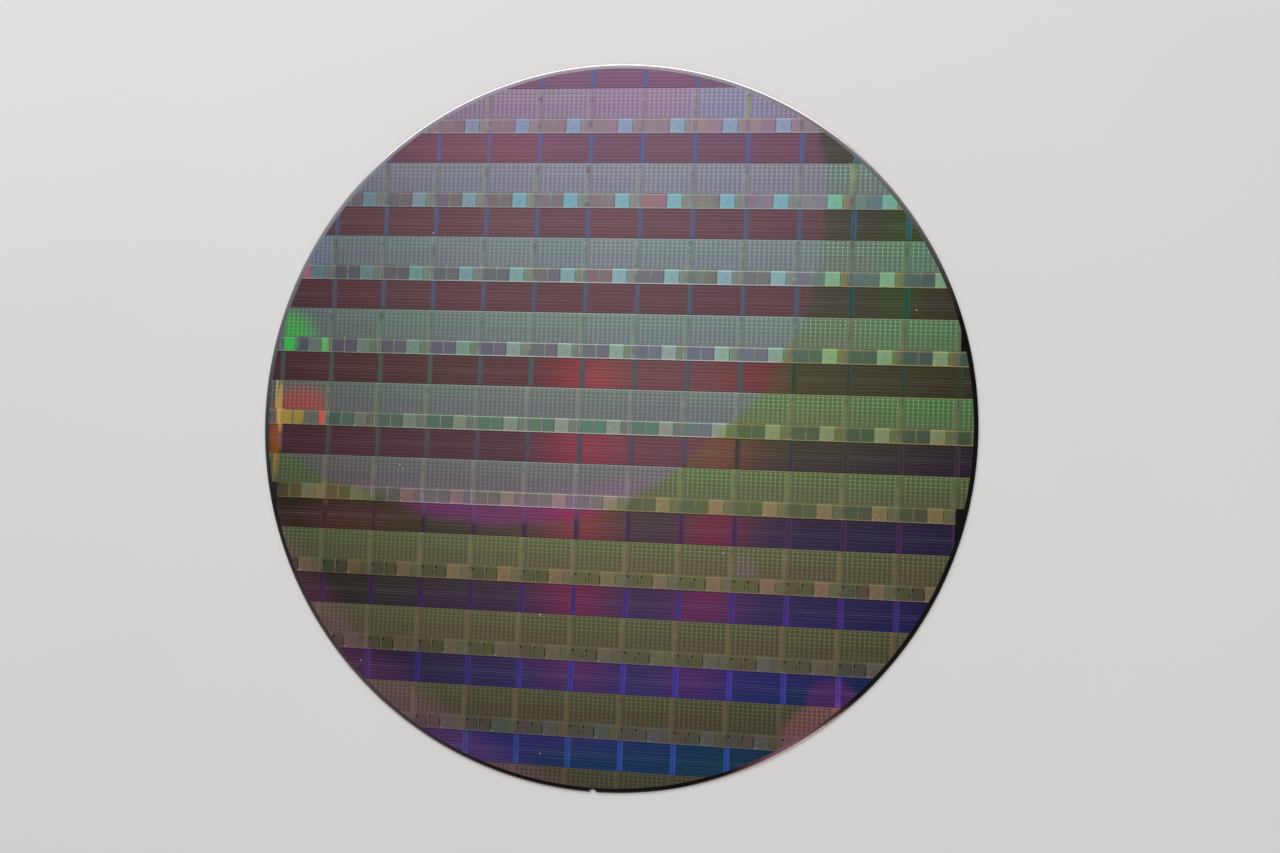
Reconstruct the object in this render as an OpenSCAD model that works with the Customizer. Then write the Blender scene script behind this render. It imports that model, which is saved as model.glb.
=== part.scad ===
// Silicon wafer with a printed grid of chips.
// It lies on its back: the origin is the centre of the back face, the printed face is up,
// and the notch points along -Y.

/* [Disc] */
// Diameter over the rim
wafer_d = 300; // [200:25:350]
// Thickness of the silicon between its two faces
wafer_t = 0.775; // [0.65:0.005:0.95]

/* [Rim] */
// Width of the bevel round each face
bevel_w = 0.45; // [0.2:0.05:0.8]
// Slope of the bevel against the face, in degrees
bevel_angle = 22; // [15:1:35]
// Radius that turns each bevel into the upright land of the rim
shoulder_r = 0.2; // [0.05:0.01:0.25]

/* [Notch] */
// Depth of the notch, in from the rim
notch_depth = 1.1; // [0.8:0.05:1.5]
// Angle between the two sides of the notch, in degrees
notch_angle = 90; // [80:1:100]
// Radius at the bottom of the notch
notch_r = 0.9; // [0.5:0.1:1.2]

/* [Printed area] */
// Width of the bare ring between the print and the rim
edge_ring = 1.8; // [1:0.1:4]
// A chip that would reach less than this far in from the rim is left out
least_reach = 5.5; // [2:0.5:12]
// Shift of the grid to the right of the disc's centre
grid_shift_x = 10.59; // [0:0.01:22]
// Shift of the grid up from the disc's centre
grid_shift_y = 2.74; // [0:0.01:31]

/* [Chip] */
// Pitch of the chips from left to right
chip_w = 21.93; // [21.2:0.01:30]
// Height of the row of small blocks at the top of a chip
block_h = 6.18; // [4:0.02:9]
// Height of the memory strip below the blocks
memory_h = 12.6; // [8:0.1:18]
// Height of the logic strip at the bottom of a chip
logic_h = 12.4; // [8:0.1:18]
// Bare line between two strips
strip_gap = 0.35; // [0.1:0.05:0.8]
// Bare line between the chips that the rim cuts off and the edge of the print
edge_gap = 0.3; // [0.1:0.05:0.8]

/* [Strips] */
// Start of the memory strip, from the left border of its chip
memory_x = 1.2; // [0.2:0.05:1.5]
// Width of the memory strip
memory_w = 19.65; // [15:0.05:19.9]
// Start of the logic strip, from the left border of its chip
logic_x = 0.35; // [0.1:0.05:1]
// Width of the logic strip
logic_w = 19.75; // [15:0.05:20.5]

/* [Block row] */
// Start of the block row, from the left border of its chip
block_x = 0.4; // [0.1:0.05:1]
// Width of each of the two dark blocks
dark_w = 4.7; // [2:0.1:5]
// Gap between the two dark blocks
dark_gap = 0.8; // [0.3:0.1:1.2]
// Width of the pale block
pale_w = 5.8; // [3:0.1:6.2]
// Width of the narrow comb block at the end of the row
comb_w = 2.75; // [1:0.05:3.3]
// Gap on each side of the pale block
pale_gap = 0.3; // [0.1:0.05:0.5]

/* [Film] */
// Height of the film in the streets, above the bare silicon
street_z = 0.004; // [0.002:0.001:0.006]
// Height of the memory strips
memory_z = 0.01; // [0.008:0.001:0.03]
// Height of the logic strips and the comb blocks
logic_z = 0.012; // [0.008:0.001:0.03]
// Height of the dark blocks
dark_z = 0.014; // [0.008:0.001:0.03]
// Height of the pale blocks
pale_z = 0.016; // [0.008:0.001:0.03]

/* [Hidden] */

wafer_r = wafer_d / 2;
print_r = wafer_r - edge_ring;
chip_h = block_h + memory_h + logic_h;
// Each layer of film is rooted this deep in the one below it.
root = street_z / 2;
rim_fn = 120;
shoulder_steps = 3;

// The film's colours turn from the top of the disc (1) to its bottom (-1).
silicon_tint = [0.36, 0.36, 0.39];
street_tint = [0.26, 0.28, 0.56];
logic_tints = [
    [-1, [0.38, 0.34, 0.20]],
    [-0.3, [0.38, 0.40, 0.24]],
    [0.2, [0.42, 0.52, 0.46]],
    [0.9, [0.53, 0.45, 0.53]]
];
memory_tints = [
    [-1, [0.10, 0.24, 0.46]],
    [-0.6, [0.17, 0.14, 0.42]],
    [-0.2, [0.26, 0.12, 0.26]],
    [0.9, [0.40, 0.19, 0.25]]
];
dark_tints = [
    [-1, [0.33, 0.33, 0.23]],
    [0, [0.22, 0.36, 0.30]],
    [0.4, [0.34, 0.31, 0.36]],
    [0.9, [0.48, 0.36, 0.44]]
];
pale_tints = [
    [-1, [0.50, 0.48, 0.42]],
    [-0.3, [0.62, 0.56, 0.42]],
    [0.1, [0.66, 0.76, 0.60]],
    [0.9, [0.50, 0.66, 0.80]]
];

function tint(stops, y) = [for (k = [0:2]) lookup(y / wafer_r, [for (s = stops) [s[0], s[1][k]]])];

// Lower left corner of the chip in column c and row r
function chip_x(c) = grid_shift_x + c * chip_w;
function chip_y(r) = grid_shift_y + r * chip_h;

// Distance from the disc's centre to the nearest point of a span
function near(lo, hi) = lo > 0 ? lo : hi < 0 ? -hi : 0;

// A chip is printed where its nearest corner lies far enough in from the rim.
function printed(c, r) =
    norm([near(chip_x(c), chip_x(c + 1)), near(chip_y(r), chip_y(r + 1))]) < wafer_r - least_reach;
most_cols = ceil(wafer_r / chip_w) + 1;
most_rows = ceil(wafer_r / chip_h) + 1;
function printed_cols(r) = [for (c = [-most_cols:most_cols]) if (printed(c, r)) c];
rows = [for (r = [-most_rows:most_rows]) if (len(printed_cols(r)) > 0) r];

function arc(centre, radius, from, to, steps) =
    [for (i = [0:steps]) let (a = from + (to - from) * i / steps) centre + radius * [cos(a), sin(a)]];

// The shoulder is limited by what the thickness leaves beside the bevel.
shoulder_max = (wafer_t / 2 * cos(bevel_angle) - bevel_w * sin(bevel_angle)) / (1 - sin(bevel_angle));
shoulder = min(shoulder_r, shoulder_max);
shoulder_drop = (shoulder + (bevel_w - shoulder) * sin(bevel_angle)) / cos(bevel_angle);
bevel_drop = bevel_w * tan(bevel_angle);

// Half section of the disc: two bevels, and an upright land between two round shoulders
module rim_section() {
    shoulder_x = wafer_r - shoulder;
    tilt = 90 - bevel_angle;
    polygon(concat(
        [[0, 0], [wafer_r - bevel_w, 0]],
        arc([shoulder_x, shoulder_drop], shoulder, -tilt, 0, shoulder_steps),
        arc([shoulder_x, wafer_t - shoulder_drop], shoulder, 0, tilt, shoulder_steps),
        [[wafer_r - bevel_w, wafer_t], [0, wafer_t]]
    ));
}

// A V with a round bottom, whose radius runs from r1 at height z to r2 at height z + h
module notch_cutter(z, h, r1, r2) {
    reach = 3 * notch_depth;
    bottom_y = -(wafer_r - notch_depth + notch_r);
    hull()
        for (side = [[0, 0], [-1, -1], [1, -1]])
            translate([
                reach * side.x * sin(notch_angle / 2),
                bottom_y + reach * side.y * cos(notch_angle / 2),
                z
            ])
                cylinder(h = h, r1 = r1, r2 = r2, $fn = 32);
}

module disc() {
    wide_r = notch_r + 2 * bevel_w;
    color(silicon_tint)
        difference() {
            rotate_extrude($fn = rim_fn) rim_section();
            notch_cutter(-1, wafer_t + 2, notch_r, notch_r);
            // Both mouths of the notch carry the rim's bevel.
            notch_cutter(wafer_t - bevel_drop, 2 * bevel_drop, notch_r, wide_r);
            notch_cutter(-bevel_drop, 2 * bevel_drop, wide_r, notch_r);
        }
}

// The film that runs under all chips and shows in the streets between them
module street_film() {
    color(street_tint)
        translate([0, 0, wafer_t - root])
            linear_extrude(street_z + root)
                intersection() {
                    circle(r = print_r, $fn = rim_fn);
                    for (r = rows)
                        translate([chip_x(printed_cols(r)[0]), chip_y(r)])
                            square([len(printed_cols(r)) * chip_w, chip_h]);
                }
}

// A cell of w by h that stands z above the silicon, at (x, y) in every chip of row r
module cells(r, x, y, w, h, z) {
    translate([0, 0, wafer_t + street_z - root])
        linear_extrude(z - street_z + root)
            intersection() {
                circle(r = print_r - edge_gap, $fn = rim_fn);
                for (c = printed_cols(r))
                    translate([chip_x(c) + x, chip_y(r) + y])
                        square([w, h]);
            }
}

module logic_strip(r) {
    color(tint(logic_tints, chip_y(r)))
        cells(r, logic_x, strip_gap / 2, logic_w, logic_h - strip_gap, logic_z);
}

module memory_strip(r) {
    color(tint(memory_tints, chip_y(r)))
        cells(r, memory_x, logic_h + strip_gap / 2, memory_w, memory_h - strip_gap, memory_z);
}

module block_row(r) {
    y = logic_h + memory_h + strip_gap / 2;
    h = block_h - strip_gap;
    pale_x = block_x + 2 * dark_w + dark_gap + pale_gap;
    color(tint(dark_tints, chip_y(r)))
        for (k = [0, 1])
            cells(r, block_x + k * (dark_w + dark_gap), y, dark_w, h, dark_z);
    color(tint(pale_tints, chip_y(r)))
        cells(r, pale_x, y, pale_w, h, pale_z);
    color(tint(logic_tints, chip_y(r)))
        cells(r, pale_x + pale_w + pale_gap, y, comb_w, h, logic_z);
}

module wafer() {
    disc();
    street_film();
    for (r = rows) {
        logic_strip(r);
        memory_strip(r);
        block_row(r);
    }
}

wafer();
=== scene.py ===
import math

import bmesh
import bpy
from mathutils import Matrix, Vector


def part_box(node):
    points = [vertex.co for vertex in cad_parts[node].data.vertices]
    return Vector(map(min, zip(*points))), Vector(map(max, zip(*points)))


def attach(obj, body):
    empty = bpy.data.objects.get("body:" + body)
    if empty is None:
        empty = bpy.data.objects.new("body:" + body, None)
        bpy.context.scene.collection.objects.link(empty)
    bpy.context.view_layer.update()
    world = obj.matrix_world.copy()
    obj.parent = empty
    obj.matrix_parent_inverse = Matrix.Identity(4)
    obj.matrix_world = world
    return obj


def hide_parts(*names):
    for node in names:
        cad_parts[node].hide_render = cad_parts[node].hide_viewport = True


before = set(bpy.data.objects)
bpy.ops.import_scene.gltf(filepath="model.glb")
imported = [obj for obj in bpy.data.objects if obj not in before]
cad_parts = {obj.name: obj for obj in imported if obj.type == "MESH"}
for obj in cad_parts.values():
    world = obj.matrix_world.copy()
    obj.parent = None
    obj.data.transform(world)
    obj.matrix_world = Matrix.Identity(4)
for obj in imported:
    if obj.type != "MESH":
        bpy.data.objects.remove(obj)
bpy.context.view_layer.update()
print("frame loaded")

# Meshes are built in millimetres and scaled to metres when they are finished.
mm = 0.001
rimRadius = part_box("wafer")[1].x / mm

silicon = {
    "thickness": 0.775,
    "bevelWidth": 0.45,
    "bevelSlope": 22,        # degrees against the face
    "shoulder": 0.124,       # the round from bevel to rim starts this far from their corner
    "shoulderSteps": 8,
    "turns": 720,            # steps round the disc
    "bedDepth": 0.1,         # the printed rows are let into the disc by this much
    "merge": 0.0005,
    "flat": 0.99,            # a face that is less level than this belongs to the rim
    "sharpAngle": 14,
}

notch = {
    "depth": 1.1,
    "angle": 90,
    "radius": 0.9,
    "steps": 32,
    "past": 1,               # the cutter stands out of the disc by this much
}

grid = {
    "shiftX": 10.59,         # of the grid, from the disc's centre
    "shiftY": 2.74,
    "chipWidth": 21.93,
    "logicHeight": 12.4,     # strips of a chip, from its lower edge up
    "memoryHeight": 12.6,
    "blockHeight": 6.18,
    "stripGap": 0.35,
    "printRadius": rimRadius - 1.8,
    "edgeGap": 0.3,          # street that is left along the edge of the print
    "leastReach": 5.5,       # a chip that would reach less far in from the rim isn't printed
    "merge": 0.0001,
}
grid["chipHeight"] = grid["logicHeight"] + grid["memoryHeight"] + grid["blockHeight"]

# Start and width of each cell in its chip, and the height of its film
cells = {
    "logic": [(0.35, 19.75)],
    "memory": [(1.2, 19.65)],
    "darkBlock": [(0.15, 4.9), (5.85, 5.0)],
    "paleBlock": [(11.0, 6.0)],
    "comb": [(17.1, 2.8)],
}
filmHeight = {
    "street": 0.004,
    "memory": 0.010,
    "logic": 0.012,
    "comb": 0.012,
    "darkBlock": 0.014,
    "paleBlock": 0.016,
}
strips = {"logic": ["logic"], "memory": ["memory"], "block": ["darkBlock", "paleBlock", "comb"]}
stripBottom = {
    "logic": 0,
    "memory": grid["logicHeight"],
    "block": grid["logicHeight"] + grid["memoryHeight"],
}
stripTop = {"logic": stripBottom["memory"], "memory": stripBottom["block"], "block": grid["chipHeight"]}


def chipX(column):
    return grid["shiftX"] + column * grid["chipWidth"]


def chipY(row):
    return grid["shiftY"] + row * grid["chipHeight"]


# how near a range comes to 0
def nearest(low, high):
    return low if low > 0 else -high if high < 0 else 0


def isPrinted(column, row):
    reach = math.hypot(nearest(chipX(column), chipX(column + 1)), nearest(chipY(row), chipY(row + 1)))
    return reach < rimRadius - grid["leastReach"]


mostChips = math.ceil(rimRadius / grid["chipWidth"]) + 1


def printedColumns(row):
    return [c for c in range(-mostChips, mostChips) if isPrinted(c, row)]


chipRows = [r for r in range(-mostChips, mostChips) if printedColumns(r)]


# Camera and light

shot = {
    "stand": (0.1540, -0.0231, 0.7021),
    "aim": (0.0138, 0.0001, 0.0008),
    "roll": 2.19,
    "lens": 49.1,
}


def addCamera():
    stand, aim = Vector(shot["stand"]), Vector(shot["aim"])
    ahead = (aim - stand).normalized()
    right = ahead.cross(Vector((0, 1, 0))).normalized()
    turn = Matrix((right, right.cross(ahead), -ahead)).transposed().to_4x4()
    turn = turn @ Matrix.Rotation(math.radians(shot["roll"]), 4, "Z")
    data = bpy.data.cameras.new("camera")
    data.lens = shot["lens"]
    camera = bpy.data.objects.new("camera", data)
    camera.matrix_world = Matrix.Translation(stand) @ turn
    bpy.context.scene.collection.objects.link(camera)
    bpy.context.scene.camera = camera


# Each lamp stands at an azimuth (0 is +X, 90 is +Y) and an elevation, and faces the disc.
lamps = {
    "windowLamp": {"azimuth": 104, "elevation": 33, "distance": 1.3, "size": (1.8, 0.6), "power": 11},
    "glintLamp": {"azimuth": -62, "elevation": 42, "distance": 1.3, "size": (0.16, 0.16), "power": 1.0},
}
surround = {"strength": 0.6, "colour": (1.0, 1.0, 1.0)}


def addLamps():
    for name, lamp in lamps.items():
        azimuth, elevation = math.radians(lamp["azimuth"]), math.radians(lamp["elevation"])
        out = Vector((
            math.cos(azimuth) * math.cos(elevation),
            math.sin(azimuth) * math.cos(elevation),
            math.sin(elevation),
        ))
        data = bpy.data.lights.new(name, "AREA")
        data.shape = "RECTANGLE"
        data.size, data.size_y = lamp["size"]
        data.energy = lamp["power"]
        light = bpy.data.objects.new(name, data)
        light.location = out * lamp["distance"]
        light.rotation_euler = out.to_track_quat("Z", "Y").to_euler()
        bpy.context.scene.collection.objects.link(light)
    world = bpy.data.worlds.new("surround")
    world.use_nodes = True
    background = world.node_tree.nodes["Background"]
    background.inputs["Color"].default_value = (*surround["colour"], 1)
    background.inputs["Strength"].default_value = surround["strength"]
    bpy.context.scene.world = world


addCamera()
addLamps()
bpy.context.scene.view_settings.view_transform = "Standard"
print("camera and lamps placed")


# Node sums, written as plain sums

class Field:
    def __init__(self, tree, value):
        self.tree = tree
        self.value = value

    def maths(self, operation, *others):
        node = self.tree.nodes.new("ShaderNodeMath")
        node.operation = operation
        for port, item in zip(node.inputs, (self, *others)):
            plug(self.tree, item, port)
        return Field(self.tree, node.outputs[0])

    def __add__(self, other):
        return self.maths("ADD", other)

    def __sub__(self, other):
        return self.maths("SUBTRACT", other)

    def __rsub__(self, other):
        return Field(self.tree, other).maths("SUBTRACT", self)

    def __mul__(self, other):
        return self.maths("MULTIPLY", other)

    def __truediv__(self, other):
        return self.maths("DIVIDE", other)

    __radd__ = __add__

    # 0 before a, 1 past b, and a smooth turn between them; a may be the larger
    def rise(self, a, b):
        node = self.tree.nodes.new("ShaderNodeMapRange")
        node.interpolation_type = "SMOOTHSTEP"
        plug(self.tree, self, node.inputs["Value"])
        node.inputs["From Min"].default_value = min(a, b)
        node.inputs["From Max"].default_value = max(a, b)
        node.inputs["To Min"].default_value = 0 if a < b else 1
        node.inputs["To Max"].default_value = 1 if a < b else 0
        return Field(self.tree, node.outputs["Result"])

    # 1 from a to b, with edges this soft
    def between(self, a, b, soft=0.12):
        return self.rise(a - soft / 2, a + soft / 2) * self.rise(b + soft / 2, b - soft / 2)

    # a bell of 1 at the middle
    def bell(self, middle, width):
        off = self.maths("MULTIPLY_ADD", 1 / width, -middle / width)
        return Field(self.tree, math.exp(-1)).maths("POWER", off * off)

    # -1 to 1, with a crest at every whole period
    def wave(self, period, crest=0.0):
        turn = 2 * math.pi / period
        return self.maths("MULTIPLY_ADD", turn, -crest * turn).maths("COSINE")

    def positive(self):
        return self.maths("MAXIMUM", 0)


def plug(tree, item, port):
    value = item.value if isinstance(item, Field) else item
    if isinstance(value, bpy.types.NodeSocket):
        tree.links.new(value, port)
    else:
        port.default_value = value


# A colour as a field: sums of colours, and colours times a number
class Paint(Field):
    def vector(self, operation, other):
        node = self.tree.nodes.new("ShaderNodeVectorMath")
        node.operation = operation
        plug(self.tree, self, node.inputs[0])
        plug(self.tree, other, node.inputs["Scale" if operation == "SCALE" else 1])
        return Paint(self.tree, node.outputs[0])

    def __add__(self, other):
        return self.vector("ADD", other)

    def __mul__(self, other):
        return self.vector("SCALE", other)

    def tinted(self, colour):
        return self.vector("MULTIPLY", colour)

    def plus(self, colour, share):
        return self + Paint(self.tree, colour) * share

    def atLeast(self, least):
        return self.vector("MAXIMUM", (least, least, least))

    # this colour where share is 0, the other where it is 1
    def blend(self, other, share):
        node = self.tree.nodes.new("ShaderNodeMix")
        node.data_type = "VECTOR"
        plug(self.tree, share, node.inputs[0])
        plug(self.tree, self, node.inputs[4])
        plug(self.tree, other, node.inputs[5])
        return Paint(self.tree, node.outputs[1])


def linear(code):
    parts = [int(code[i:i + 2], 16) / 255 for i in (0, 2, 4)]
    return tuple(p / 12.92 if p < 0.04045 else ((p + 0.055) / 1.055) ** 2.4 for p in parts)


def ramp(field, stops):
    low, high = min(stops), max(stops)
    node = field.tree.nodes.new("ShaderNodeValToRGB")
    plug(field.tree, (field - low) / (high - low), node.inputs[0])
    elements = node.color_ramp.elements
    while len(elements) < len(stops):
        elements.new(0.5)
    for element, (place, code) in zip(elements, sorted(stops.items())):
        element.position = (place - low) / (high - low)
        element.color = (*linear(code), 1)
    return Paint(field.tree, node.outputs["Color"])


def noise(tree, scale, detail=2.0, stretch=(1, 1, 1)):
    coordinates = tree.nodes.new("ShaderNodeTexCoord")
    mapping = tree.nodes.new("ShaderNodeMapping")
    mapping.inputs["Scale"].default_value = stretch
    node = tree.nodes.new("ShaderNodeTexNoise")
    node.inputs["Scale"].default_value = scale
    node.inputs["Detail"].default_value = detail
    tree.links.new(coordinates.outputs["Object"], mapping.inputs["Vector"])
    tree.links.new(mapping.outputs["Vector"], node.inputs["Vector"])
    return Field(tree, node.outputs["Fac"])


def distance(x, y, centre):
    across, up = x - centre[0], y - centre[1]
    return (across * across + up * up).maths("SQRT")


# x and y on the piece, in millimetres
def placeOn(tree):
    coordinates = tree.nodes.new("ShaderNodeTexCoord")
    split = tree.nodes.new("ShaderNodeSeparateXYZ")
    tree.links.new(coordinates.outputs["Object"], split.inputs[0])
    return Field(tree, split.outputs["X"]) * (1 / mm), Field(tree, split.outputs["Y"]) * (1 / mm)


# in degrees, 0 towards +X and 90 towards +Y
def angleAt(x, y):
    return y.maths("ARCTAN2", x) * (180 / math.pi)


def newMaterial(name):
    material = bpy.data.materials.new(name)
    material.use_nodes = True
    return material, material.node_tree, material.node_tree.nodes["Principled BSDF"]


def dress(tree, shader, colour, roughness, height, depth):
    plug(tree, colour, shader.inputs["Base Color"])
    plug(tree, roughness, shader.inputs["Roughness"])
    bump = tree.nodes.new("ShaderNodeBump")
    bump.inputs["Distance"].default_value = depth * mm
    plug(tree, height, bump.inputs["Height"])
    tree.links.new(bump.outputs["Normal"], shader.inputs["Normal"])


# The film's colours turn down the disc: place up the disc in millimetres, and the colour there.
# Under the painted reflection they are others.
palettes = {
    "memory": {
        "slant": -0.3, "middle": 20, "width": 145, "reflectedMiddle": 0, "reflectedWidth": 185,
        "plain": {-150: "103850", -122: "343266", -60: "443a4c", -20: "545040", 70: "5a5650"},
        "reflected": {-40: "5a3e4e", 20: "604648", 90: "72565e", 145: "806078"},
    },
    "logic": {
        "slant": -0.1, "middle": 20, "width": 195, "reflectedMiddle": 15, "reflectedWidth": 195,
        "plain": {-150: "403e30", -60: "626248", 0: "6c8058", 100: "7c8e88"},
        "reflected": {-40: "6e6668", 40: "768680", 90: "828c90", 140: "968298"},
    },
    "darkBlock": {
        "slant": -0.1, "middle": 25, "width": 150, "reflectedMiddle": 25, "reflectedWidth": 180,
        "plain": {-120: "4c4840", -70: "605c42", 0: "586a4e", 90: "70807c"},
        "reflected": {-40: "6a6a5e", 0: "607a6c", 32: "706e7c", 70: "747474", 120: "947e8a"},
    },
    "paleBlock": {
        "slant": -0.1, "middle": 30, "width": 200, "reflectedMiddle": 25, "reflectedWidth": 165,
        "plain": {-120: "4e504c", -40: "867656", 30: "8aac7e", 100: "74b4aa"},
        "reflected": {-40: "887668", 20: "8e9e90", 90: "7eaeb8", 130: "8e9ab4"},
    },
    "street": {
        "slant": -0.1, "middle": 25, "width": 180, "reflectedMiddle": 5, "reflectedWidth": 215,
        "plain": {-140: "264484", -100: "403288", -50: "462e50", 0: "3e4432", 50: "345250", 90: "486080"},
        "reflected": {-40: "524056", 30: "545860", 120: "62628a"},
    },
}

film = {
    "exposure": 1.32,
    "clearing": 0.009,           # what the gloss adds, taken off the paint
    "least": 0.002,              # no paint is darker
    "metallic": 0.5,
    "specular": 0.25,
    "roughness": 0.27,
    "roughnessSpread": 0.10,
    "roughnessNoise": (60, 3),   # scale and detail, as for every noise
    "coat": 0.15,
    "coatRoughness": 0.08,
    "bump": 0.004,
    "drift": 7,                  # the colours' places wander by this much up and down
    "driftNoise": 14,
    "reflectedDrift": 0.6,
}

# A rosy reflection is painted inside a wide circle at the upper left, and another beyond an arc at the lower
# left.
paintedReflection = {
    "centre": (-48, 92),
    "radius": 134.5,
    "soft": 4,
    "ripple": 4,                 # both edges wander by this much
    "rippleNoise": 35,
    "leftGrowth": 7,             # it reaches further on the far left
    "growthAcross": (-90, -145),
    "lowCentre": (85, 106),
    "lowRadius": 272,
    "lowSoft": 13,
    # the colour the painted reflection adds beyond the lower arc
    "low": (0.038, 0.009, 0.028),
    "reflectionHem": (0.055, 0.004, 0.055),  # a painted lilac hem of the reflection inside its lower edge
    "hemIn": 6,
    "hemWidth": 6,
    "hemDown": (-12, -36),       # it sets in between these two heights
    "hemAcross": (-105, -65),
}

# Two crimson streaks run down the memory strips.
streaks = {
    "colour": (1.0, -0.06, 0.0),
    "first": {"x": -10, "width": 16, "strength": 0.125},
    "second": {"x": 51, "lean": 0.12, "width": 14, "strength": 0.098},
    "top": (40, 20),
    "foot": (-140, -45),
    "faint": 0.45,               # the second one is weaker above the disc's middle
    "faintFrom": (-32, 5),
}

# Soft spots of colour: where, how far they reach, what they add and on what; a hard one keeps its edge
glows = [
    # green, rosy and violet corners at the left edge
    {"at": (-142, 32), "reach": (18, 16), "add": (-0.03, 0.20, -0.04), "on": "logic"},
    {"at": (-142, 31), "reach": (7, 6), "add": (-0.02, 0.28, 0.00), "hard": 0.2, "on": "darkBlock"},
    {"at": (-124, 30), "reach": (3, 14), "add": (-0.02, 0.28, 0.00), "hard": 0.1, "on": "comb"},
    {"at": (-130, 72), "reach": (10, 13), "add": (0.02, 0.02, 0.07), "hard": 0.3, "on": "logic"},
    {"at": (-134, 61), "reach": (8, 6), "add": (0.20, 0.03, 0.05), "hard": 0.5, "on": "darkBlock street"},
    # orange corner below them
    {"at": (-133, 3), "reach": (16, 13), "add": (0.16, -0.03, -0.04), "on": "logic comb"},
    {"at": (-139, 0), "reach": (9, 6), "add": (0.24, 0.12, -0.02), "hard": 0.4, "on": "darkBlock"},
    {"at": (-124, 0), "reach": (2, 14), "add": (0.30, 0.00, 0.00), "hard": 0.5, "on": "comb"},
    # yellow and copper strips along the rim
    {"at": (-144, 7), "reach": (2, 24), "add": (0.26, 0.14, 0.00), "hard": 0.4, "on": "logic"},
    {"at": (-143, 4), "reach": (2, 12), "add": (0.26, 0.14, 0.00), "hard": 0.4, "on": "street"},
    {"at": (-145, -10), "reach": (4, 18), "add": (0.15, 0.04, 0.00), "on": "street memory"},
    {"at": (-144, -18), "reach": (2, 15), "add": (0.12, 0.03, -0.02), "on": "logic"},
    # warm left ends of the strips under the painted reflection's edge
    {"at": (-122, -32), "reach": (26, 7), "add": (0.06, 0.03, 0.01), "on": "darkBlock comb street"},
    {"at": (-112, -42), "reach": (30, 9), "add": (0.03, 0.00, 0.01), "on": "memory street"},
    {"at": (-95, -76), "reach": (36, 28), "add": (-0.03, -0.03, -0.02), "on": "paleBlock comb"},
    # pink patch at the lower right
    {"at": (97, -126), "reach": (23, 20), "add": (0.08, 0.01, 0.03), "hard": 0.7,
     "on": "logic darkBlock street comb paleBlock"},
    {"at": (96, -108), "reach": (12, 11), "add": (0.045, 0.00, 0.015), "hard": 0.5, "on": "memory street"},
    # odd rosy, green and violet blocks
    {"at": (15, 93), "reach": (8, 6), "add": (0.08, -0.01, 0.00), "hard": 0.5, "on": "darkBlock"},
    {"at": (-3, 62), "reach": (13, 6), "add": (0.05, -0.01, 0.00), "hard": 0.3, "on": "darkBlock"},
    {"at": (38, 78), "reach": (6, 24), "add": (0.00, 0.07, -0.04), "on": "darkBlock"},
    {"at": (40, -1), "reach": (8, 6), "add": (0.04, -0.03, 0.04), "on": "darkBlock"},
    {"at": (92, 84), "reach": (42, 38), "add": (0.03, 0.05, 0.05), "on": "darkBlock"},
    {"at": (-85, 108), "reach": (50, 30), "add": (0.05, -0.01, 0.00), "on": "paleBlock"},
    {"at": (85, -64), "reach": (55, 12), "add": (0.03, -0.01, 0.01), "on": "paleBlock"},
    # greener streets at the left, yellowish ones at the top, and a bluish sheen beside them
    {"at": (-105, 12), "reach": (50, 40), "add": (0.00, 0.01, -0.02), "on": "street"},
    {"at": (97, 104), "reach": (4, 9), "add": (0.05, 0.07, -0.04), "on": "street"},
    {"at": (50, 135), "reach": (22, 10), "add": (0.02, 0.07, -0.02), "on": "street"},
    {"at": (48, 132), "reach": (26, 18), "add": (-0.03, 0.02, 0.04), "on": "logic"},
    # redder and greener parts of the memory strips
    {"at": (18, 8), "reach": (48, 42), "add": (0.05, 0.02, 0.02), "on": "memory"},
    {"at": (-56, 115), "reach": (42, 12), "add": (0.04, 0.00, 0.00), "on": "memory street"},
    {"at": (65, 21), "reach": (13, 14), "add": (0.03, 0.00, 0.00), "hard": 0.2, "on": "memory"},
    {"at": (118, 68), "reach": (12, 34), "add": (-0.01, 0.02, -0.01), "on": "memory street"},
    # the right side's green, and one bluish spot
    {"at": (138, 45), "reach": (42, 80), "add": (-0.015, 0.03, 0.00), "on": "logic"},
    {"at": (58, -56), "reach": (8, 7), "add": (0.02, 0.01, 0.04), "on": "logic"},
]

dust = {
    "colour": (0.45, 0.45, 0.42),
    "core": 0.4,                 # the share of each speck that is fully pale
    "specks": [                  # where, and how large
        (-88.6, -19.2, 0.35), (-87.2, -20.9, 0.25), (-89.5, -21.4, 0.2), (-25.2, -78.9, 0.4),
        (-24.0, -79.6, 0.2), (-102.0, -102.0, 0.3), (124.3, 50.0, 0.35), (-78.2, 79.0, 0.35),
        (50.0, -50.0, 0.3), (-23.0, -135.8, 0.3),
    ],
}

# Thin lines along the strips: place up the chip, width and strength
borders = {
    "pale": [(12.15, 0.18, 0.10), (25.05, 0.16, 0.22), (30.6, 0.16, 0.18)],
    "dark": [(12.58, 0.20, 0.45), (24.62, 0.20, 0.45)],
    "paleColour": (1.1, 0.78, 0.18),
    # the pale lines' colour under the painted reflection
    "reflectedColour": (1.8, 1.85, 1.6),
    "low": (-130, 40),           # the pale ones are weaker low on the disc,
    "lowShare": 0.25,
    "high": (50, 100),           # near its top
    "highLoss": 0.5,
    "left": (-125, -35),         # and towards its left
    "leftShare": 0.3,
}


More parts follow.
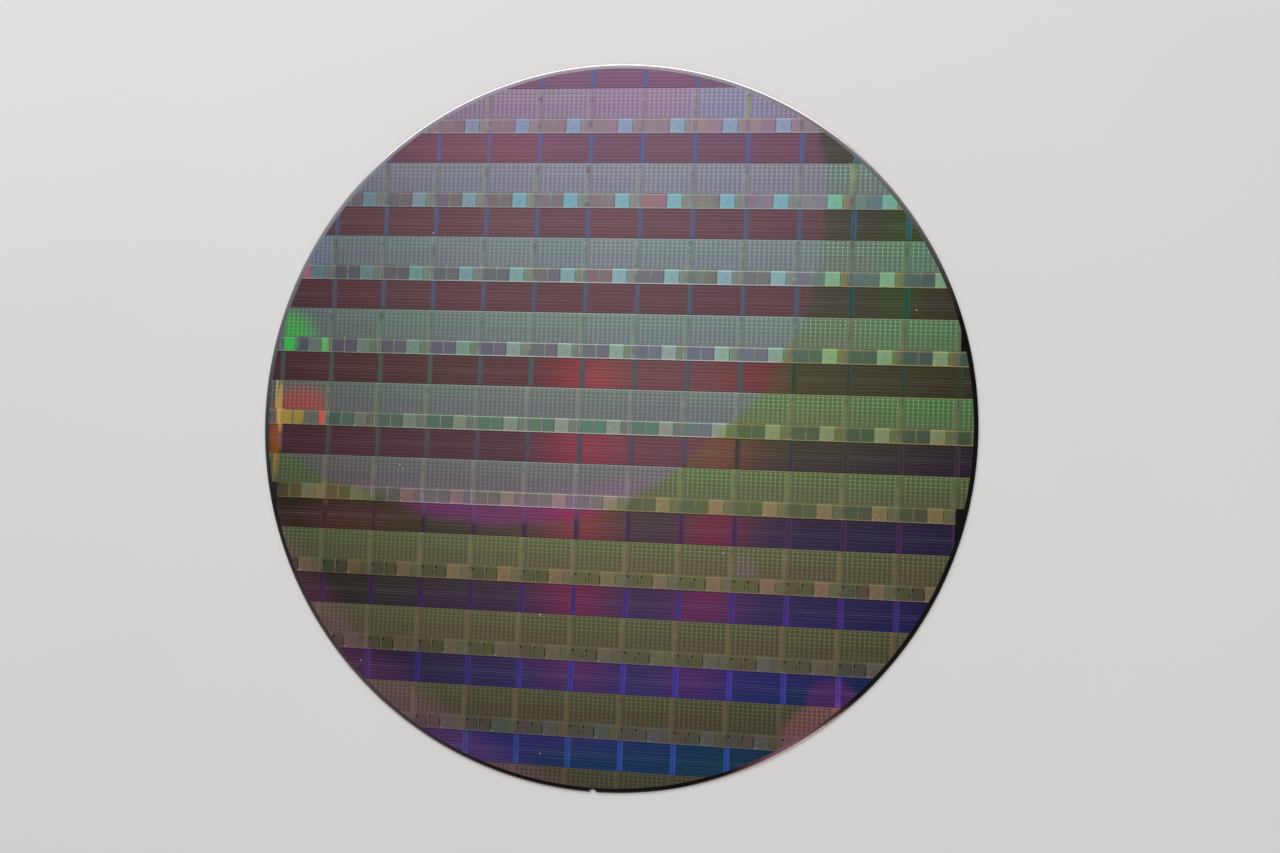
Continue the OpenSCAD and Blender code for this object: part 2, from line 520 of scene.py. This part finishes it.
# What every film material starts from
class Film:
    def __init__(self, kind, palette):
        self.kind = kind
        self.material, self.tree, self.shader = newMaterial(kind + "Film")
        self.x, self.y = x, y = placeOn(self.tree)
        self.u = (x - grid["shiftX"]).maths("FLOORED_MODULO", grid["chipWidth"])
        self.v = (y - grid["shiftY"]).maths("FLOORED_MODULO", grid["chipHeight"])
        # the painted reflection: its share inside the rosy circle, its lilac hem, and its share beyond the
        # lower arc
        half, lowHalf = paintedReflection["soft"] / 2, paintedReflection["lowSoft"] / 2
        ripple = noise(self.tree, paintedReflection["rippleNoise"]) * (2 * paintedReflection["ripple"]) - paintedReflection["ripple"]
        growth = x.rise(*paintedReflection["growthAcross"]) * paintedReflection["leftGrowth"]
        out = distance(x, y, paintedReflection["centre"]) + ripple - growth
        self.reflectionShare = out.rise(paintedReflection["radius"] + half, paintedReflection["radius"] - half)
        hemFade = y.rise(*paintedReflection["hemDown"]) * x.rise(*paintedReflection["hemAcross"])
        self.reflectionHem = out.bell(paintedReflection["radius"] - paintedReflection["hemIn"], paintedReflection["hemWidth"]) * hemFade
        away = distance(x, y, paintedReflection["lowCentre"]) + ripple
        self.lowReflectionShare = away.rise(paintedReflection["lowRadius"] - lowHalf, paintedReflection["lowRadius"] + lowHalf)
        self.drift = noise(self.tree, film["driftNoise"]) * (2 * film["drift"]) - film["drift"]
        self.colour = self.paint(palette)

    def paint(self, palette):
        x, y = self.x, self.y
        stops = palettes[palette]
        plain = ramp(y + x * stops["slant"] + self.drift, stops["plain"])
        reflected = ramp(y + self.drift * film["reflectedDrift"], stops["reflected"])
        plain = plain * x.bell(stops["middle"], stops["width"])
        reflected = reflected * x.bell(stops["reflectedMiddle"], stops["reflectedWidth"])
        # the painted reflection: the reflected palette inside the circle, then its colour beyond the lower
        # arc and its hem
        colour = plain.blend(reflected, self.reflectionShare).plus(paintedReflection["low"], self.lowReflectionShare)
        return colour.plus(paintedReflection["reflectionHem"], self.reflectionHem)

    # each chip differs a little from the next
    def vary(self, amount, parts=1):
        column = ((self.x - grid["shiftX"]) / (grid["chipWidth"] / parts)).maths("FLOOR")
        row = ((self.y - grid["shiftY"]) / grid["chipHeight"]).maths("FLOOR")
        pair = self.tree.nodes.new("ShaderNodeCombineXYZ")
        plug(self.tree, column, pair.inputs[0])
        plug(self.tree, row, pair.inputs[1])
        chance = self.tree.nodes.new("ShaderNodeTexWhiteNoise")
        self.tree.links.new(pair.outputs[0], chance.inputs["Vector"])
        tint = Paint(self.tree, chance.outputs["Color"]) * (2 * amount) + (1 - amount,) * 3
        self.colour = self.colour.tinted(tint)

    def addGlows(self):
        for glow in glows:
            if self.kind not in glow["on"].split():
                continue
            (atX, atY), (reachX, reachY) = glow["at"], glow["reach"]
            across = self.x.maths("MULTIPLY_ADD", 1 / reachX, -atX / reachX)
            up = self.y.maths("MULTIPLY_ADD", 1 / reachY, -atY / reachY)
            out = across.maths("MULTIPLY_ADD", across, up * up)
            self.colour = self.colour.plus(glow["add"], out.rise(1, glow.get("hard", 0)))

    def addBorders(self, pale=(), dark=()):
        lowShare, leftShare = borders["lowShare"], borders["leftShare"]
        fade = self.y.rise(*borders["low"]) * (1 - lowShare) + lowShare
        fade = fade * (1 - self.y.rise(*borders["high"]) * borders["highLoss"])
        fade = fade * (self.x.rise(*borders["left"]) * (1 - leftShare) + leftShare)
        # under the painted reflection the pale lines take another, whiter colour
        warm, pink = Paint(self.tree, borders["paleColour"]), Paint(self.tree, borders["reflectedColour"])
        warm = warm.blend(pink, self.reflectionShare)
        for place, width, strength in (borders["pale"][i] for i in pale):
            self.colour = self.colour + warm * (self.v.bell(place, width) * fade * strength)
        for place, width, strength in (borders["dark"][i] for i in dark):
            self.colour = self.colour * (1 - self.v.bell(place, width) * strength)

    def finish(self, height):
        for atX, atY, size in dust["specks"]:
            speck = distance(self.x, self.y, (atX, atY)).rise(size, size * dust["core"])
            self.colour = self.colour.plus(dust["colour"], speck)
        colour = (self.colour + (-film["clearing"],) * 3) * film["exposure"]
        self.shader.inputs["Metallic"].default_value = film["metallic"]
        self.shader.inputs["Specular IOR Level"].default_value = film["specular"]
        self.shader.inputs["Coat Weight"].default_value = film["coat"]
        self.shader.inputs["Coat Roughness"].default_value = film["coatRoughness"]
        spread = film["roughnessSpread"]
        roughness = noise(self.tree, *film["roughnessNoise"]) * spread + (film["roughness"] - spread / 2)
        dress(self.tree, self.shader, colour.atLeast(film["least"]), roughness, height, film["bump"])
        return self.material


memoryLook = {
    "middle": 18.45,         # up the chip; the bands are mirrored about it
    "period": 1.5,
    "crest": 0.92,
    "base": 0.9,
    "bands": 0.34,
    "uneven": 1.6,
    "unevenNoise": (900, 2, (0.05, 1, 1)),
    "lines": [(0, 0.13, 1), (0.98, 0.11, 0.4), (2.5, 0.11, 0.25)],  # off the middle, width, strength
    "lineColour": (0.070, 0.062, 0.078),
    "leftTint": (0.97, 0.92, 0.90),
    "leftAcross": (-20, -130),
    "deeper": (-0.005, -0.005, -0.006),
    "variety": 0.04,
}


def memoryMaterial():
    piece = Film("memory", "memory")
    x, y, look = piece.x, piece.y, memoryLook
    glow = y.rise(*streaks["top"]) * y.rise(*streaks["foot"])
    first, second = streaks["first"], streaks["second"]
    red = x.bell(first["x"], first["width"]) * first["strength"]
    faint = 1 - y.rise(*streaks["faintFrom"]) * streaks["faint"]
    red = red + (x - y * second["lean"]).bell(second["x"], second["width"]) * faint * second["strength"]
    warm = piece.colour.tinted(look["leftTint"])
    piece.colour = piece.colour.blend(warm, x.rise(*look["leftAcross"])).plus(streaks["colour"], red * glow)
    piece.colour = piece.colour + look["deeper"]
    piece.addGlows()
    piece.vary(look["variety"])
    off = (piece.v - look["middle"]).maths("ABSOLUTE")
    bands = off.wave(look["period"], look["crest"]).positive()
    bands = bands * bands
    uneven = noise(piece.tree, *look["unevenNoise"]) * look["uneven"]
    lines = sum(off.bell(place, width) * strength for place, width, strength in look["lines"]) * uneven
    shade = look["base"] + bands * uneven * look["bands"]
    piece.colour = (piece.colour * shade).plus(look["lineColour"], lines)
    piece.addBorders(dark=(0, 1))
    return piece.finish(bands + lines)


logicLook = {
    "half": 6.15,            # the upper half is greener and has the stronger lattice
    "halfSoft": 1.3,
    "column": 1.97,          # the lattice: width and height of its cells
    "columnCrest": 2.03,
    "row": 1.585,
    "rowCrest": 11.2,
    "upper": {"columns": 0.13, "rows": 0.10, "points": 1},
    "lower": {"columns": 0.15, "rows": 0.05, "points": 0.5},
    "crossings": 0.45,
    "dots": 0.55,
    "level": -0.1,
    "points": 0.55,          # their strength at the left
    "growth": 1.3,           # and what they gain to the right
    "growthAcross": (-120, 120),
    # less of them under the painted reflection
    "reflectedLoss": 0.6,
    "edge": 1.2,             # and at the left edge alone
    "edgeAcross": (-122, -132),
    "pits": {"at": 5.74, "width": 0.35, "strength": 0.07},
    "lowerTint": (0.98, 0.87, 0.96),
    "lowerReflectedTint": (0.98, 0.91, 0.99),
    "variety": 0.03,
}


def logicMaterial():
    piece = Film("logic", "logic")
    x, u, v, look = piece.x, piece.u, piece.v, logicLook
    upper = v.rise(look["half"] - look["halfSoft"], look["half"] + look["halfSoft"])
    lower = piece.colour.tinted(look["lowerTint"])
    # under the painted reflection the lower half takes another tint
    lower = lower.blend(piece.colour.tinted(look["lowerReflectedTint"]), piece.reflectionShare)
    piece.colour = lower.blend(piece.colour, upper)
    piece.addGlows()
    columns, rows = u.wave(look["column"], look["columnCrest"]), v.wave(look["row"], look["rowCrest"])
    fine = u.wave(look["column"] / 2, look["columnCrest"]).positive()
    dots = fine * v.wave(look["row"] / 2, look["rowCrest"]).positive()
    strength = x.rise(*look["growthAcross"]) * look["growth"] + look["points"]
    strength = strength * (1 - piece.reflectionShare * look["reflectedLoss"]) + x.rise(*look["edgeAcross"]) * look["edge"]
    points = columns.positive() * rows.positive() * look["crossings"] + dots * look["dots"] + look["level"]
    points = points * strength

    def lattice(half):
        return columns * half["columns"] + rows * half["rows"] + points * half["points"]

    pits = columns.maths("MINIMUM", 0) * v.bell(look["pits"]["at"], look["pits"]["width"])
    pattern = lattice(look["upper"]) * upper + lattice(look["lower"]) * (1 - upper)
    piece.colour = piece.colour * (1 + pattern + pits * look["pits"]["strength"])
    piece.vary(look["variety"])
    piece.addBorders(pale=(0,))
    return piece.finish(dots + columns)


# Marks in a chip: boxes are left, right, bottom and top; spots are u, v, radius and strength.
def boxMark(piece, box, soft=0.12):
    left, right, bottom, top = box
    return piece.u.between(left, right, soft) * piece.v.between(bottom, top)


def spotMarks(piece, spots):
    return sum(
        distance(piece.u, piece.v, (u, v)).rise(radius, radius / 2) * strength
        for u, v, radius, strength in spots
    )


darkLook = {
    "rightTint": (0.90, 0.96, 1.10),
    "rightAcross": (50, 120),
    "period": 0.62,
    "lines": 0.05,
    "spots": [(0.5, 29.4, 0.65, 1), (6.2, 29.4, 0.65, 1)],
    "bars": [(4.75, 5.05, 26.2, 28.4), (5.9, 6.1, 26.2, 28.4), (10.45, 10.85, 26.0, 29.2)],
    "marks": 0.75,           # they show low on the disc alone
    "marksDown": (-32, -62),
    "edge": (10.4, 10.85),   # the right edge is darker under the painted reflection
    "edgeShade": 0.25,
    "variety": 0.08,
}


def darkMaterial():
    piece = Film("darkBlock", "darkBlock")
    look = darkLook
    right = piece.colour.tinted(look["rightTint"])
    piece.colour = piece.colour.blend(right, piece.x.rise(*look["rightAcross"]))
    piece.addGlows()
    piece.vary(look["variety"], parts=4)
    lines = piece.u.wave(look["period"])
    marks = spotMarks(piece, look["spots"]) + sum(boxMark(piece, bar) for bar in look["bars"])
    marks = marks * piece.y.rise(*look["marksDown"]) * look["marks"]
    edge = piece.u.between(*look["edge"]) * piece.reflectionShare * look["edgeShade"]
    piece.colour = piece.colour * (1 + lines * look["lines"] - marks - edge)
    piece.addBorders(pale=(1, 2))
    return piece.finish(lines)


paleLook = {
    "bars": [(13.4, 15.5, 27.65, 27.95), (13.4, 14.8, 26.75, 27.05)],
    "barSoft": 0.2,
    "barTint": (1.05, 0.66, 0.76),
    "spots": [(11.6, 25.5, 0.6, 1), (12.3, 27.4, 0.5, 0.5)],
    "spotColour": (0.07, 0.07, 0.06),
    "variety": 0.06,
}


def paleMaterial():
    piece = Film("paleBlock", "paleBlock")
    look = paleLook
    bars = sum(boxMark(piece, bar, look["barSoft"]) for bar in look["bars"])
    spots = spotMarks(piece, look["spots"])
    piece.addGlows()
    piece.vary(look["variety"])
    piece.colour = piece.colour.blend(piece.colour.tinted(look["barTint"]), bars)
    piece.colour = piece.colour.plus(look["spotColour"], spots)
    piece.addBorders(pale=(1, 2))
    return piece.finish(bars + spots)


combLook = {
    "period": 0.72,
    "crest": 17.55,
    "teeth": 0.16,
    "slit": (17.1, 17.4, 26, 29.2),
    "slitShade": 0.35,
    "lowTint": (1.20, 1.14, 1.24),
    "highTint": (1.14, 0.87, 0.77),
    "highFrom": (-75, 15),
    # the comb's tint under the painted reflection
    "reflectedTint": (0.95, 1.02, 0.93),
    "yellow": (17.2, 18.3),
    "yellowTint": (1.05, 1.22, 0.72),
    "yellowLoss": 0.6,       # under the painted reflection
    "orange": (18.7, 19.8),
    "orangeTint": (1.28, 0.86, 0.80),
    "stripes": 0.8,
    "stripesFrom": (-25, 35),
    "variety": 0.08,
}


def combMaterial():
    piece = Film("comb", "logic")
    u, y, look = piece.u, piece.y, combLook
    piece.addGlows()
    piece.vary(look["variety"])
    low, high = piece.colour.tinted(look["lowTint"]), piece.colour.tinted(look["highTint"])
    reflected = piece.colour.tinted(look["reflectedTint"])
    piece.colour = low.blend(high, y.rise(*look["highFrom"])).blend(reflected, piece.reflectionShare)
    stripes = y.rise(*look["stripesFrom"]) * look["stripes"]
    yellow = u.between(*look["yellow"]) * (1 - piece.reflectionShare * look["yellowLoss"]) * stripes
    orange = u.between(*look["orange"]) * stripes
    piece.colour = piece.colour.blend(piece.colour.tinted(look["yellowTint"]), yellow)
    piece.colour = piece.colour.blend(piece.colour.tinted(look["orangeTint"]), orange)
    teeth = u.wave(look["period"], look["crest"])
    slit = boxMark(piece, look["slit"])
    piece.colour = piece.colour * (1 + teeth * look["teeth"] - slit * look["slitShade"])
    piece.addBorders(pale=(1, 2))
    return piece.finish(teeth)


# The street has the tan of the logic strips beside them and beside the blocks, and its own colours
# beside the memory strips. Its lines run up the chip, from one place across it to another.
streetLook = {
    "edge": 0.1,             # how soft the change from tan to the memory's colours is
    "tan": (1.0, 0.88, 0.92),
    "reflectedTan": (1.02, 1.0, 0.95),
    "tanBase": 0.86,
    "tanGrowth": 0.40,       # lighter down the disc
    "tanDown": (70, -90),
    "blotchNoise": (420, 2, (0.6, 1, 1)),
    "blotch": 0.4,
    "blotchGrowth": 0.6,     # rougher up the chip
    "blotchUp": (4, 9),
    "light": (20.0, 21.3),
    "lightSoft": 0.15,
    "lightShare": 0.12,
    "crease": (21.5, 21.8),
    "creaseShade": 0.16,
    "blockShade": 0.82,      # beside the blocks the tan is darker and bluer
    "blockBlue": (0.0, 0.0, 0.012),
    "blockLines": [(5.35, 5.6), (20.2, 20.5), (21.4, 21.65)],
    "blockLineColour": (0.13, 0.12, 0.08),
    "blockLine": 0.3,
    "reflectedBlockLine": 1.0,
    "memoryTint": (1.07, 1.03, 1.0),
    "memoryStripes": [(20.85, 21.35, 1), (0.35, 1.2, 1), (21.5, 22.0, -0.8)],
    "stripeShare": 0.16,
    "reflectedStripeShare": -0.08,
    "leftTint": (0.80, 0.95, 0.68),
    "leftAcross": (20, -80),
}


def streetMaterial():
    piece = Film("street", "street")
    x, y, u, v, look = piece.x, piece.y, piece.u, piece.v, streetLook
    # plain is where no reflection is painted; the tan, the block lines and the stripes take other shares
    # under the painted reflection
    plain = 1 - piece.reflectionShare
    inMemory = v.between(stripBottom["memory"], stripTop["memory"], look["edge"])
    inBlock = v.rise(stripBottom["block"] - look["edge"] / 2, stripBottom["block"] + look["edge"] / 2)
    tan = piece.paint("logic")
    tan = tan.tinted(look["tan"]).blend(tan.tinted(look["reflectedTan"]), piece.reflectionShare)
    blotch = v.rise(*look["blotchUp"]) * look["blotchGrowth"] + look["blotch"]
    blotch = (noise(piece.tree, *look["blotchNoise"]) - 0.5) * blotch
    tan = tan * (y.rise(*look["tanDown"]) * look["tanGrowth"] + look["tanBase"] + blotch)
    light, crease = u.between(*look["light"], look["lightSoft"]), u.between(*look["crease"])
    tan = tan * (1 + light * look["lightShare"] - crease * look["creaseShade"])
    lines = sum(u.between(*line) for line in look["blockLines"])
    tan = tan.blend(tan * look["blockShade"] + look["blockBlue"], inBlock)
    strength = piece.reflectionShare * (look["reflectedBlockLine"] - look["blockLine"]) + look["blockLine"]
    tan = tan.plus(look["blockLineColour"], lines * inBlock * strength)
    stripes = sum(u.between(start, end) * share for start, end, share in look["memoryStripes"])
    share = plain * look["stripeShare"] + piece.reflectionShare * look["reflectedStripeShare"]
    memory = piece.colour.tinted(look["memoryTint"]) * (1 + stripes * share)
    left = x.rise(*look["leftAcross"]) * plain
    memory = memory.blend(memory.tinted(look["leftTint"]), left)
    piece.colour = tan.blend(memory, inMemory)
    piece.addGlows()
    piece.addBorders(pale=(0, 1, 2), dark=(0, 1))
    return piece.finish(light + stripes + lines)


# The bare ring: a painted reflection, lighter and darker by the angle round the disc, 0 towards +X and 90
# towards +Y
bare = {
    # painted reflection: light at the top, dark at the right and bottom, with a painted glint near -58
    "colours": {
        -180: "404044", -165: "181818", -132: "504448", -105: "101012", -68: "080808", -58: "806064",
        -46: "141012", 18: "080808", 42: "687068", 90: "b8b0b8", 150: "80848c", 180: "404044",
    },
    "noise": (30, 3),
    "base": 0.85,
    "cloud": 0.3,
    "line": (0.35, 0.6),     # a darker line round the print, this far out from it
    "lineShade": 0.45,
    "specular": 0.08,
    "roughness": 0.16,
    "roughnessCloud": 0.06,
    "bump": 0.002,
}


def bareReflectionMaterial():
    material, tree, shader = newMaterial("bareSiliconPaintedReflection")
    x, y = placeOn(tree)
    shader.inputs["Specular IOR Level"].default_value = bare["specular"]
    cloud = noise(tree, *bare["noise"])
    line = distance(x, y, (0, 0)).between(*(grid["printRadius"] + step for step in bare["line"]))
    shade = cloud * bare["cloud"] + bare["base"] - line * bare["lineShade"]
    # the painted reflection by the angle round the disc
    colour = ramp(angleAt(x, y), bare["colours"]) * shade
    dress(tree, shader, colour, cloud * bare["roughnessCloud"] + bare["roughness"], cloud, bare["bump"])
    return material


# The polished rim: a painted reflection by the same angle, with a painted glint near -62
rim = {
    "colours": {
        -180: "606468", -165: "404044", -130: "a89ca0", -76: "141416", -62: "d8a8ac", -46: "242020",
        22: "161618", 36: "a08494", 90: "c8b8c4", 130: "b8b0b8", 180: "606468",
    },
    "noise": (90, 3),
    "base": 0.85,
    "cloud": 0.3,
    # a painted highlight line along the rim's outer edge
    "line": {"at": 149.3, "width": 0.16, "add": (0.16, 0.16, 0.17)},
    "roughness": 0.16,
    "roughnessCloud": 0.08,
    "bump": 0.002,
}


def rimReflectionMaterial():
    material, tree, shader = newMaterial("polishedRimPaintedReflection")
    x, y = placeOn(tree)
    shader.inputs["Metallic"].default_value = 1
    cloud = noise(tree, *rim["noise"])
    line = distance(x, y, (0, 0)).bell(rim["line"]["at"], rim["line"]["width"])
    # the painted reflection by the angle round the disc, then the painted highlight line
    colour = ramp(angleAt(x, y), rim["colours"]) * (cloud * rim["cloud"] + rim["base"])
    colour = colour.plus(rim["line"]["add"], line)
    dress(tree, shader, colour, cloud * rim["roughnessCloud"] + rim["roughness"], cloud, rim["bump"])
    return material


# The back is ground: fine marks turn out from the middle.
ground = {
    "colour": (0.30, 0.30, 0.32),
    "metallic": 0.75,
    "marks": 260,
    "twist": 0.012,
    "marksNoise": (220, 2),
    "noise": (18, 3),
    "base": 0.88,
    "cloud": 0.16,
    "marksShare": 0.08,
    "roughness": 0.42,
    "roughnessMarks": 0.05,
    "bump": 0.004,
}


def backMaterial():
    material, tree, shader = newMaterial("groundBack")
    x, y = placeOn(tree)
    shader.inputs["Metallic"].default_value = ground["metallic"]
    turn = y.maths("ARCTAN2", x) + distance(x, y, (0, 0)) * ground["twist"]
    marks = (turn * ground["marks"]).maths("COSINE") * noise(tree, *ground["marksNoise"])
    shade = noise(tree, *ground["noise"]) * ground["cloud"] + ground["base"] + marks * ground["marksShare"]
    roughness = marks * ground["roughnessMarks"] + ground["roughness"]
    dress(tree, shader, Paint(tree, ground["colour"]) * shade, roughness, marks, ground["bump"])
    return material


materials = {
    "street": streetMaterial(),
    "memory": memoryMaterial(),
    "logic": logicMaterial(),
    "darkBlock": darkMaterial(),
    "paleBlock": paleMaterial(),
    "comb": combMaterial(),
    "bare": bareReflectionMaterial(),
    "rim": rimReflectionMaterial(),
    "back": backMaterial(),
}
print("materials made")


# Spin and extrude leave edges and faces in another order each run; this orders them by their corners.
def putInOrder(bm):
    bm.verts.index_update()
    for parts in (bm.edges, bm.faces):
        ranked = sorted(parts, key=lambda part: sorted(v.index for v in part.verts))
        ranks = {part: rank for rank, part in enumerate(ranked)}
        parts.sort(key=ranks.get)
        parts.index_update()


def finishPiece(bm, name, kinds):
    putInOrder(bm)
    bmesh.ops.scale(bm, vec=(mm, mm, mm), verts=bm.verts)
    mesh = bpy.data.meshes.new(name)
    bm.to_mesh(mesh)
    bm.free()
    for kind in kinds:
        mesh.materials.append(materials[kind])
    piece = bpy.data.objects.new(name, mesh)
    bpy.context.scene.collection.objects.link(piece)
    return piece


def ridesAsWafer(piece):
    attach(piece, "root")
    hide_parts("wafer")


# The disc

def makeDisc():
    bm = bmesh.new()
    drop = silicon["bevelWidth"] * math.tan(math.radians(silicon["bevelSlope"]))
    high = silicon["thickness"]
    inner = rimRadius - silicon["bevelWidth"]
    bed = high - silicon["bedDepth"]
    corners = [
        (0, 0), (inner, 0), (rimRadius, drop), (rimRadius, high - drop),
        (inner, high), (grid["printRadius"], high), (grid["printRadius"], bed), (0, bed),
    ]
    verts = [bm.verts.new((r, 0, z)) for r, z in corners]
    for a, b in zip(verts, verts[1:]):
        bm.edges.new((a, b))
    bmesh.ops.bevel(
        bm, geom=[verts[2], verts[3]], offset=silicon["shoulder"], segments=silicon["shoulderSteps"],
        profile=0.5, affect="VERTICES", material=-1,
    )
    bmesh.ops.spin(
        bm, geom=bm.verts[:] + bm.edges[:], cent=(0, 0, 0), axis=(0, 0, 1), angle=2 * math.pi,
        steps=silicon["turns"], use_merge=True, use_duplicate=False,
    )
    bmesh.ops.remove_doubles(bm, verts=bm.verts[:], dist=silicon["merge"])
    bmesh.ops.recalc_face_normals(bm, faces=bm.faces[:])
    piece = finishPiece(bm, "disc", ["rim", "bare", "back"])
    cutNotch(piece)
    for face in piece.data.polygons:
        flat = abs(face.normal.z) > silicon["flat"]
        face.material_index = 0 if not flat else 1 if face.normal.z > 0 else 2
        face.use_smooth = True
    piece.data.set_sharp_from_angle(angle=math.radians(silicon["sharpAngle"]))
    ridesAsWafer(piece)


# A V with a round bottom, whose radius runs from lowRadius at the foot to highRadius at the top
def notchCutter(name, bottom, top, lowRadius, highRadius):
    half = math.radians(notch["angle"] / 2)
    reach = 3 * notch["depth"]
    middle = -(rimRadius - notch["depth"] + notch["radius"])
    bm = bmesh.new()
    for side, back in ((0, 0), (-1, -1), (1, -1)):
        place = (reach * side * math.sin(half), middle + reach * back * math.cos(half), (bottom + top) / 2)
        bmesh.ops.create_cone(
            bm, cap_ends=True, segments=notch["steps"], radius1=lowRadius, radius2=highRadius,
            depth=top - bottom, matrix=Matrix.Translation(place),
        )
    bmesh.ops.delete(bm, geom=bm.edges[:] + bm.faces[:], context="EDGES_FACES")
    hull = bmesh.ops.convex_hull(bm, input=bm.verts[:])
    inside = set(hull["geom_interior"]) | set(hull["geom_unused"])
    bmesh.ops.delete(bm, geom=[g for g in inside if isinstance(g, bmesh.types.BMVert)], context="VERTS")
    bmesh.ops.recalc_face_normals(bm, faces=bm.faces[:])
    return finishPiece(bm, name, [])


def cutNotch(piece):
    high, bevel = silicon["thickness"], silicon["bevelWidth"]
    drop = bevel * math.tan(math.radians(silicon["bevelSlope"]))
    narrow, wide = notch["radius"], notch["radius"] + 2 * bevel
    cutters = [
        notchCutter("notchThrough", -notch["past"], high + notch["past"], narrow, narrow),
        notchCutter("notchTop", high - drop, high + drop, narrow, wide),
        notchCutter("notchFoot", -drop, drop, wide, narrow),
    ]
    for cutter in cutters:
        boolean = piece.modifiers.new("notch", "BOOLEAN")
        boolean.object = cutter
        boolean.solver = "EXACT"
    bpy.context.view_layer.update()
    cut = bpy.data.meshes.new_from_object(piece.evaluated_get(bpy.context.evaluated_depsgraph_get()))
    piece.modifiers.clear()
    piece.data = cut
    for cutter in cutters:
        bpy.data.objects.remove(cutter)


makeDisc()
print("disc made")


# The printed rows

def cutAcross(bm, faces, place, normal, **clear):
    edges = dict.fromkeys(e for f in faces for e in f.edges)
    verts = dict.fromkeys(v for f in faces for v in f.verts)
    bmesh.ops.bisect_plane(
        bm, geom=[*faces, *edges, *verts], dist=grid["merge"],
        plane_co=place, plane_no=normal, **clear,
    )


def cutAtX(bm, faces, x):
    cutAcross(bm, faces, (x, 0, 0), (1, 0, 0))


def cutAtY(bm, faces, y):
    cutAcross(bm, faces, (0, y, 0), (0, 1, 0))


def rowSheet(row):
    bm = bmesh.new()
    bmesh.ops.create_circle(bm, cap_ends=True, segments=silicon["turns"], radius=grid["printRadius"])
    bmesh.ops.inset_region(bm, faces=bm.faces[:], thickness=grid["edgeGap"], use_even_offset=True)
    low, high = chipY(row), chipY(row + 1)
    cutAcross(bm, bm.faces[:], (0, low, 0), (0, 1, 0), clear_inner=True)
    cutAcross(bm, bm.faces[:], (0, high, 0), (0, 1, 0), clear_outer=True)
    columns = printedColumns(row)
    for x in (chipX(columns[0]), chipX(columns[-1] + 1)):
        cutAtX(bm, bm.faces[:], x)
    half = grid["stripGap"] / 2
    for strip, kinds in strips.items():
        bottom, top = low + stripBottom[strip] + half, low + stripTop[strip] - half
        cutAtY(bm, bm.faces[:], bottom)
        cutAtY(bm, bm.faces[:], top)
        for column in columns:
            for start, width in [c for kind in kinds for c in cells[kind]]:
                for x in (start, start + width):
                    inStrip = [f for f in bm.faces if bottom < f.calc_center_bounds().y < top]
                    cutAtX(bm, inStrip, chipX(column) + x)
    return bm


def kindAt(x, y, row):
    columns = printedColumns(row)
    if not chipX(columns[0]) < x < chipX(columns[-1] + 1):
        return "bare"
    if math.hypot(x, y) > grid["printRadius"] - grid["edgeGap"]:
        return "street"
    u = (x - grid["shiftX"]) % grid["chipWidth"]
    v = (y - grid["shiftY"]) % grid["chipHeight"]
    strip = [s for s in strips if stripBottom[s] < v][-1]
    half = grid["stripGap"] / 2
    if not stripBottom[strip] + half < v < stripTop[strip] - half:
        return "street"
    for kind in strips[strip]:
        if any(start < u < start + width for start, width in cells[kind]):
            return kind
    return "street"


def makeRow(row, name):
    bm = rowSheet(row)
    kinds = ["street", "memory", "logic", "darkBlock", "paleBlock", "comb", "bare"]
    under = bm.faces[:]
    raised = bmesh.ops.extrude_face_region(bm, geom=under, use_keep_orig=True)["geom"]
    lift = silicon["bedDepth"] + filmHeight["street"]
    bmesh.ops.translate(bm, vec=(0, 0, lift), verts=[g for g in raised if isinstance(g, bmesh.types.BMVert)])
    tops = [g for g in raised if isinstance(g, bmesh.types.BMFace)]
    byKind = {kind: [] for kind in kinds}
    for face in tops:
        middle = face.calc_center_median_weighted()
        kind = kindAt(middle.x, middle.y, row)
        face.material_index = kinds.index(kind)
        byKind[kind].append(face)
    bmesh.ops.dissolve_faces(bm, faces=under)
    for kind, height in filmHeight.items():
        if kind == "street":
            continue
        lifted = bmesh.ops.extrude_discrete_faces(bm, faces=byKind[kind])["faces"]
        bmesh.ops.translate(
            bm, vec=(0, 0, height - filmHeight["street"]), verts=list({v for f in lifted for v in f.verts}),
        )
    bmesh.ops.recalc_face_normals(bm, faces=bm.faces[:])
    bmesh.ops.translate(bm, vec=(0, 0, silicon["thickness"] - silicon["bedDepth"]), verts=bm.verts[:])
    piece = finishPiece(bm, name, kinds)
    ridesAsWafer(piece)


for number, row in enumerate(chipRows, 1):
    makeRow(row, f"printedRow{number:02}")
print("printed rows made:", len(chipRows))


# The floor

floorLook = {
    "radius": 3000,
    "steps": 96,
    "gap": 0.02,             # under the wafer's back
    "colour": (0.74, 0.73, 0.72),
    "noise": (6, 3),
    "base": 0.97,
    "cloud": 0.06,
    "roughness": 0.7,
    "roughnessCloud": 0.1,
    "grain": (400, 2),
    "bump": 0.02,
}


def makeFloor():
    look = floorLook
    material, tree, shader = newMaterial("paleFloor")
    cloud = noise(tree, *look["noise"])
    colour = Paint(tree, look["colour"]) * (cloud * look["cloud"] + look["base"])
    roughness = cloud * look["roughnessCloud"] + look["roughness"]
    dress(tree, shader, colour, roughness, noise(tree, *look["grain"]), look["bump"])
    materials["floor"] = material
    bm = bmesh.new()
    bmesh.ops.create_circle(bm, cap_ends=True, segments=look["steps"], radius=look["radius"])
    bmesh.ops.translate(bm, vec=(0, 0, -look["gap"]), verts=bm.verts)
    floor = finishPiece(bm, "floor", ["floor"])


makeFloor()
print("floor made")
